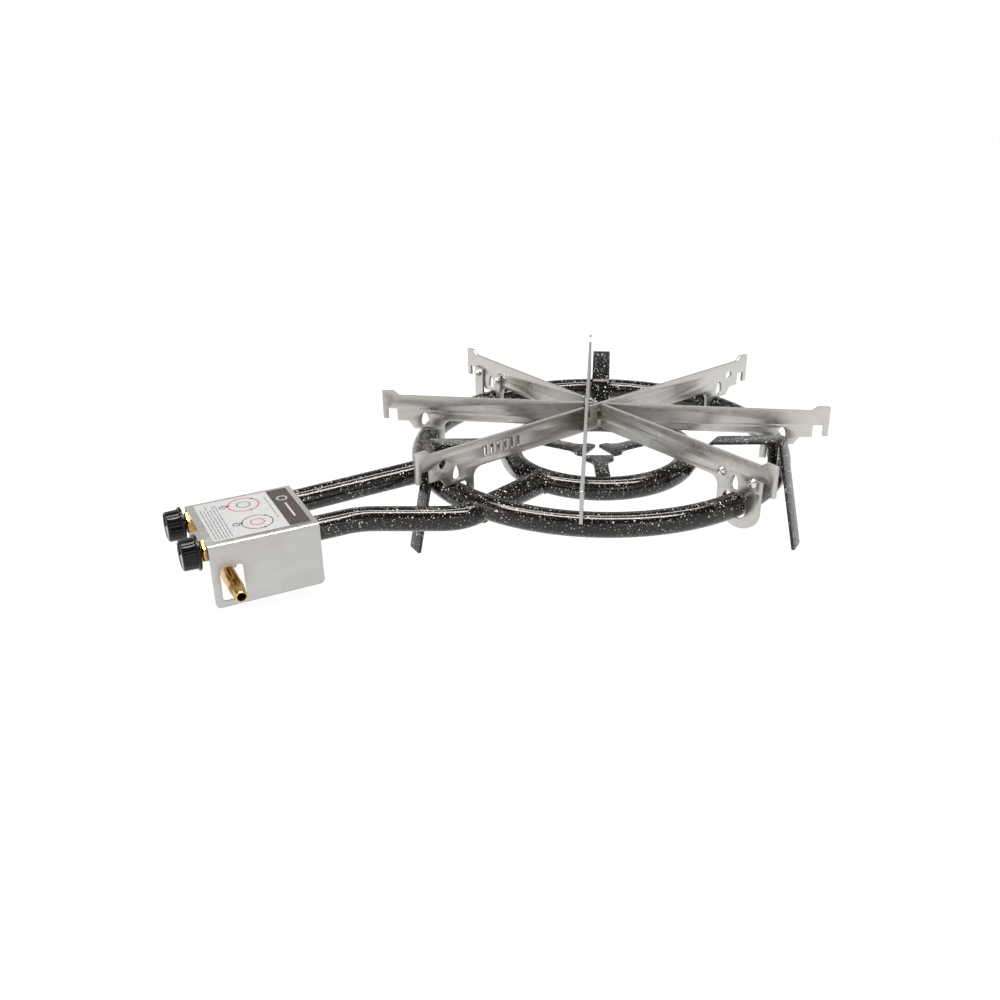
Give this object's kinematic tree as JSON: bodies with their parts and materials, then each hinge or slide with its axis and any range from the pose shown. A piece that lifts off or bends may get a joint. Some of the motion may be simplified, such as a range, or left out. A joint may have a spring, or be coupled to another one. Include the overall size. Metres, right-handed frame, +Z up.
{
  "type": "two-ring gas burner stand",
  "caption": "Enamelled two-ring gas burner on strap legs with a cross of pan-support bars, a control box with two taps and a hose nipple.",
  "frame": {"origin": "middle of the footprint, on the floor", "axes": "+X from the control box towards the rings, +Z up, +Y to the left seen from the knobs"},
  "size_m": [0.6812, 0.4626, 0.1195],
  "materials": {
    "speckled_enamel": "glossy vitreous enamel, black with fine irregular white speckles",
    "stainless_plate": "satin stainless plate with bright cut edges",
    "stainless_cover": "fine satin stainless sheet",
    "bolt_steel": "bright steel, polished dome heads",
    "zinc_steel": "bright zinc",
    "brass": "machined golden brass",
    "black_plastic": "glossy black",
    "label": "printed film, semi-gloss"
  },
  "bodies": {
    "burner": {"outer_ring": "speckled_enamel", "inner_ring": "speckled_enamel", "outer_feed_tube": "speckled_enamel", "inner_feed_tube": "speckled_enamel", "leg_strap_left": "speckled_enamel", "leg_strap_right": "speckled_enamel", "leg_strap_back": "speckled_enamel", "leg_post_left": "speckled_enamel", "leg_post_right": "speckled_enamel", "leg_post_back": "speckled_enamel", "centre_finger_front": "speckled_enamel", "centre_finger_right": "speckled_enamel", "centre_finger_back": "speckled_enamel", "support_bar_a": "stainless_plate", "support_bar_b": "stainless_plate", "support_bar_c": "stainless_plate", "support_bar_d": "stainless_plate", "ring_clamp_front": "stainless_plate", "ring_clamp_back": "stainless_plate", "clamp_bolt_front_inner": "bolt_steel", "clamp_bolt_front_outer": "bolt_steel", "clamp_bolt_back_inner": "bolt_steel", "clamp_bolt_back_outer": "bolt_steel", "clamp_nut_front_inner": "bolt_steel", "clamp_nut_front_outer": "bolt_steel", "clamp_nut_back_inner": "bolt_steel", "clamp_nut_back_outer": "bolt_steel", "control_cover": "stainless_cover", "label_plate": "label", "carrier_plate": "zinc_steel", "tap_body_outer": "brass", "gland_nut_outer": "brass", "jet_outer": "brass", "tap_body_inner": "brass", "gland_nut_inner": "brass", "jet_inner": "brass", "gas_rail": "brass", "rail_plug": "brass", "inlet_elbow": "brass", "hose_nipple": "brass", "nipple_nut": "brass"},
    "outer_knob": {"knob_outer": "black_plastic", "spindle_outer": "zinc_steel"},
    "inner_knob": {"knob_inner": "black_plastic", "spindle_inner": "zinc_steel"}
  },
  "joints": [
    {"name": "outer_tap_turn", "type": "hinge", "parent": "burner", "child": "outer_knob", "pos_m": [-0.33158, 0.0324, 0.0613], "axis": [-1, 0, 0], "range_deg": [0, 210]},
    {"name": "inner_tap_turn", "type": "hinge", "parent": "burner", "child": "inner_knob", "pos_m": [-0.33158, -0.0315, 0.0613], "axis": [-1, 0, 0], "range_deg": [0, 210]}
  ]
}
